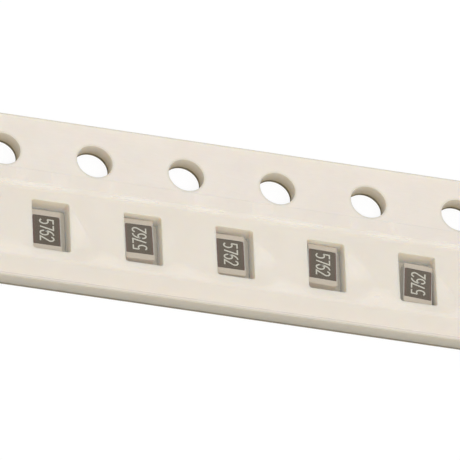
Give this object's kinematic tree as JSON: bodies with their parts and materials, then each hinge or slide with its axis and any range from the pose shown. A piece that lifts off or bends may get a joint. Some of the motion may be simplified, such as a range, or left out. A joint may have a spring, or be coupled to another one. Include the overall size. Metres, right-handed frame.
{
  "type": "chip resistor carrier tape strip",
  "caption": "Cut strip of punched paper carrier tape with a row of sprocket holes, its square pockets loaded with chip resistors under a clear cover tape.",
  "frame": {"origin": "centre of the strip's underside, on the bottom cover tape", "axes": "+X along the tape, +Y across it towards the sprocket holes, +Z out of the peeled face"},
  "size_m": [0.04, 0.008, 0.0009],
  "materials": {
    "carrier_paper": "matte",
    "cover_film": "gloss",
    "bottom_film": "satin",
    "alumina": "matte",
    "resistive_film": "satin",
    "epoxy_overcoat": "satin",
    "tinned_terminal": "satin"
  },
  "bodies": {
    "root": {"carrier_tape": "carrier_paper", "top_cover_tape": "cover_film", "bottom_cover_tape": "bottom_film", "chip_1_ceramic": "alumina", "chip_1_element": "resistive_film", "chip_1_overcoat": "epoxy_overcoat", "chip_1_terminal_a": "tinned_terminal", "chip_1_terminal_b": "tinned_terminal", "chip_2_ceramic": "alumina", "chip_2_element": "resistive_film", "chip_2_overcoat": "epoxy_overcoat", "chip_2_terminal_a": "tinned_terminal", "chip_2_terminal_b": "tinned_terminal", "chip_3_ceramic": "alumina", "chip_3_element": "resistive_film", "chip_3_overcoat": "epoxy_overcoat", "chip_3_terminal_a": "tinned_terminal", "chip_3_terminal_b": "tinned_terminal", "chip_4_ceramic": "alumina", "chip_4_element": "resistive_film", "chip_4_overcoat": "epoxy_overcoat", "chip_4_terminal_a": "tinned_terminal", "chip_4_terminal_b": "tinned_terminal", "chip_5_ceramic": "alumina", "chip_5_element": "resistive_film", "chip_5_overcoat": "epoxy_overcoat", "chip_5_terminal_a": "tinned_terminal", "chip_5_terminal_b": "tinned_terminal", "chip_6_ceramic": "alumina", "chip_6_element": "resistive_film", "chip_6_overcoat": "epoxy_overcoat", "chip_6_terminal_a": "tinned_terminal", "chip_6_terminal_b": "tinned_terminal", "chip_7_ceramic": "alumina", "chip_7_element": "resistive_film", "chip_7_overcoat": "epoxy_overcoat", "chip_7_terminal_a": "tinned_terminal", "chip_7_terminal_b": "tinned_terminal", "chip_8_ceramic": "alumina", "chip_8_element": "resistive_film", "chip_8_overcoat": "epoxy_overcoat", "chip_8_terminal_a": "tinned_terminal", "chip_8_terminal_b": "tinned_terminal", "chip_9_ceramic": "alumina", "chip_9_element": "resistive_film", "chip_9_overcoat": "epoxy_overcoat", "chip_9_terminal_a": "tinned_terminal", "chip_9_terminal_b": "tinned_terminal", "chip_10_ceramic": "alumina", "chip_10_element": "resistive_film", "chip_10_overcoat": "epoxy_overcoat", "chip_10_terminal_a": "tinned_terminal", "chip_10_terminal_b": "tinned_terminal"}
  },
  "joints": []
}
